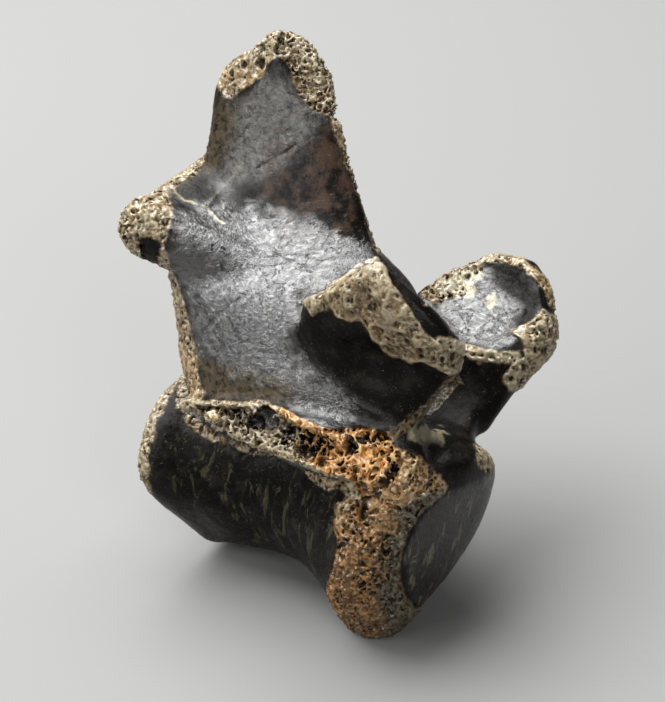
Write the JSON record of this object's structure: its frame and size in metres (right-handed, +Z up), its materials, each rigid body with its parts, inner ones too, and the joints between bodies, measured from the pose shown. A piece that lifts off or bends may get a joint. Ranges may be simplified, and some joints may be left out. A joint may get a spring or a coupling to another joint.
{
  "type": "fossil neck vertebra",
  "caption": "Dark fossil neck vertebra of a reindeer: domed head, deep rim, broad arch, tall worn spine, dished joint facets and a broken transverse root.",
  "frame": {"origin": "middle of the bounding box's foot, on the table", "axes": "+Z up, +X along the table towards the head end, +Y towards the animal's left, to which the spine leans"},
  "size_m": [0.0542, 0.0488, 0.0711],
  "materials": {
    "spinous_process": "glossy dark mineralised bone, spongy and tan where the top is broken",
    "caudal_process_right": "worn tan spongy bone",
    "caudal_process_left": "worn tan spongy bone",
    "cranial_process_right": "glossy dark bone with a worn tan rim",
    "cranial_process_left": "glossy dark bone with a worn tan rim",
    "neural_arch": "glossy dark mineralised bone",
    "transverse_process_left": "dark mineralised bone",
    "transverse_stump_right": "tan and ochre spongy bone",
    "centrum": "near-black mineralised bone with a brown crust below the head"
  },
  "bodies": {
    "root": {"spinous_process": "spinous_process", "caudal_process_right": "caudal_process_right", "caudal_process_left": "caudal_process_left", "cranial_process_right": "cranial_process_right", "cranial_process_left": "cranial_process_left", "neural_arch": "neural_arch", "transverse_process_left": "transverse_process_left", "transverse_stump_right": "transverse_stump_right", "centrum": "centrum"}
  },
  "joints": []
}
